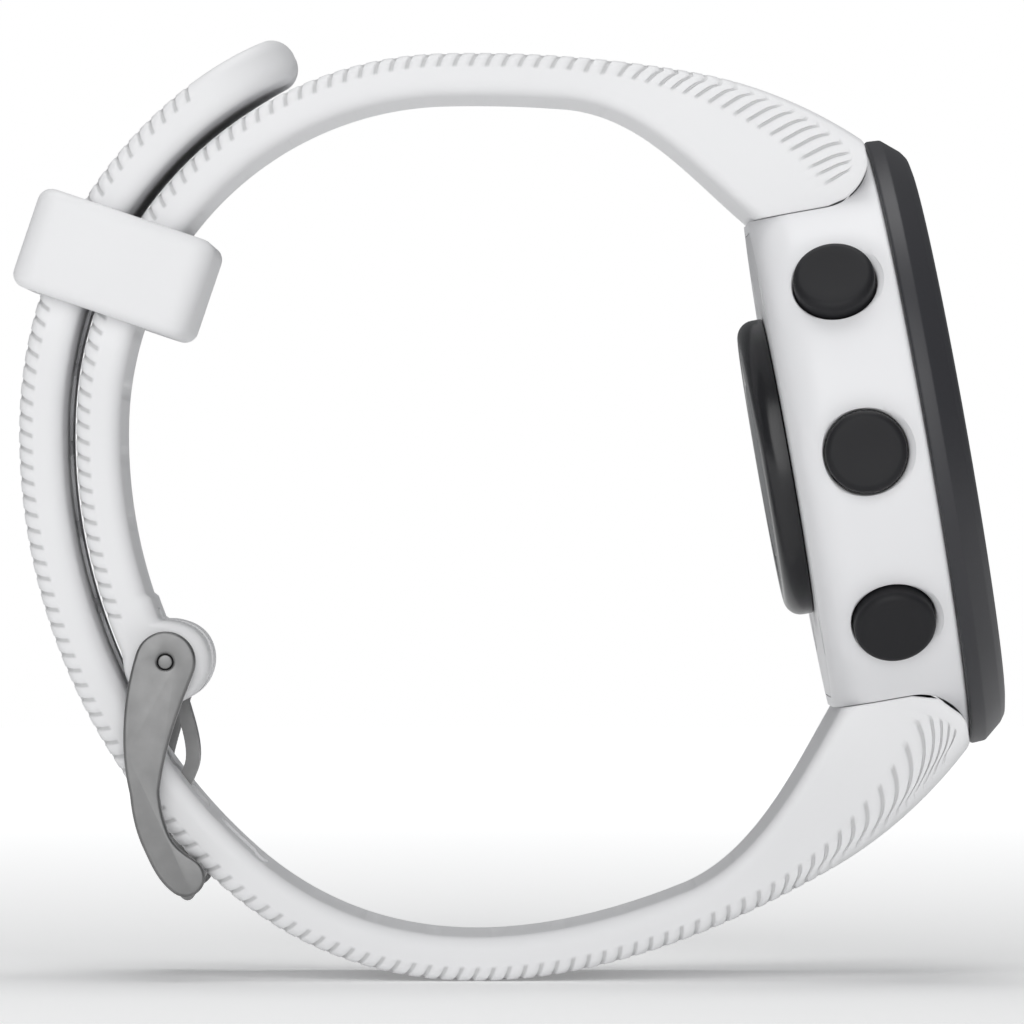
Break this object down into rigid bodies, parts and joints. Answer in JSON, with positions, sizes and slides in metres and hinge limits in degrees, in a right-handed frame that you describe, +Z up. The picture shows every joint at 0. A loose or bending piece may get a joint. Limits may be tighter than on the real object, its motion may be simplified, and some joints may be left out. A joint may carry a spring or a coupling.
{
  "type": "gps running watch",
  "caption": "Round running watch on a white silicone band, fastened into its wrist loop, with side buttons, a rear sensor pod, a tang buckle and a sliding keeper.",
  "frame": {"origin": "middle of the sensor pod's flat rear face, which lies on the wrist", "axes": "+Z up with the watch standing on its band, +X towards the display side, -Y the side with three buttons; the case leans back 10 degrees"},
  "size_m": [0.0637, 0.04, 0.0603],
  "materials": {
    "white_shell": "satin white moulded plastic",
    "white_silicone": "matt white silicone",
    "charcoal_shell": "charcoal plastic with a fine matt texture",
    "button_black": "matt black plastic",
    "lens_glass": "clear chemically hardened glass",
    "screen": "reflective memory display",
    "pod_black": "gloss black plastic",
    "window_glass": "dark clear plastic window",
    "steel": "satin steel",
    "board_green": "solder mask",
    "chip_black": "moulded package",
    "copper": "copper and flex laminate",
    "gold": "gold plate",
    "grey_plastic": "glass filled plastic",
    "seal_rubber": "black rubber",
    "foam": "soft foam",
    "led_clear": "green emitter",
    "back_plastic": "light grey plastic"
  },
  "bodies": {
    "case": {"case_body": "white_shell", "bezel": "charcoal_shell", "lens": "lens_glass", "back_cover": "back_plastic", "back_screws": "steel", "sensor_pod": "pod_black", "sensor_window": "window_glass", "charging_port": "pod_black", "lens_seal": "seal_rubber", "display_module": "screen", "light_guide": "grey_plastic", "display_frame": "grey_plastic", "antenna_ring": "copper", "main_board": "board_green", "board_chips": "chip_black", "shield_can": "steel", "mid_frame": "grey_plastic", "battery": "steel", "battery_pad": "foam", "vibration_motor": "steel", "buzzer": "gold", "flex_cable": "copper", "button_switches": "grey_plastic", "back_seal": "seal_rubber", "sensor_board": "board_green", "sensor_leds": "led_clear", "photodiode": "chip_black", "charging_contacts": "gold", "upper_strap": "white_silicone", "lower_strap": "white_silicone", "upper_spring_bar": "steel", "lower_spring_bar": "steel", "spring_bar_tips": "steel", "light_button_seal": "seal_rubber", "light_button_spring": "steel", "up_button_seal": "seal_rubber", "up_button_spring": "steel", "down_button_seal": "seal_rubber", "down_button_spring": "steel", "start_button_seal": "seal_rubber", "start_button_spring": "steel", "back_button_seal": "seal_rubber", "back_button_spring": "steel"},
    "light_button": {"light_button_cap": "button_black", "light_button_clip": "steel"},
    "up_button": {"up_button_cap": "button_black", "up_button_clip": "steel"},
    "down_button": {"down_button_cap": "button_black", "down_button_clip": "steel"},
    "start_button": {"start_button_cap": "button_black", "start_button_clip": "steel"},
    "back_button": {"back_button_cap": "button_black", "back_button_clip": "steel"},
    "keeper": {"keeper_loop": "white_silicone"},
    "buckle": {"buckle_frame": "steel", "buckle_pin": "steel"},
    "tongue": {"buckle_tongue": "steel"}
  },
  "joints": [
    {"name": "light_button_press", "type": "slide", "parent": "case", "child": "light_button", "axis": [0.0986, 0.8231, -0.5592], "range_m": [0, 0.0005], "stiffness_N_per_m": 2000, "springref_m": -0.0005, "deforming": ["light_button_spring"]},
    {"name": "up_button_press", "type": "slide", "parent": "case", "child": "up_button", "axis": [0, 1, 0], "range_m": [0, 0.0005], "stiffness_N_per_m": 2000, "springref_m": -0.0005, "deforming": ["up_button_spring"]},
    {"name": "down_button_press", "type": "slide", "parent": "case", "child": "down_button", "axis": [-0.0986, 0.8231, 0.5592], "range_m": [0, 0.0005], "stiffness_N_per_m": 2000, "springref_m": -0.0005, "deforming": ["down_button_spring"]},
    {"name": "start_button_press", "type": "slide", "parent": "case", "child": "start_button", "axis": [0.0986, -0.8231, -0.5592], "range_m": [0, 0.0005], "stiffness_N_per_m": 2000, "springref_m": -0.0005, "deforming": ["start_button_spring"]},
    {"name": "back_button_press", "type": "slide", "parent": "case", "child": "back_button", "axis": [-0.0986, -0.8231, 0.5592], "range_m": [0, 0.0005], "stiffness_N_per_m": 2000, "springref_m": -0.0005, "deforming": ["back_button_spring"]},
    {"name": "keeper_slide", "type": "hinge", "parent": "case", "child": "keeper", "pos_m": [-0.01995, 0, 0.00265], "axis": [0, 1, 0], "range_deg": [-14, 20]},
    {"name": "buckle_pivot", "type": "hinge", "parent": "case", "child": "buckle", "pos_m": [-0.0382, 0, -0.01225], "axis": [0, 1, 0], "range_deg": [0, 3]},
    {"name": "tongue_pivot", "type": "hinge", "parent": "buckle", "child": "tongue", "pos_m": [-0.0382, 0, -0.01225], "axis": [0, 1, 0], "range_deg": [0, 2]}
  ]
}
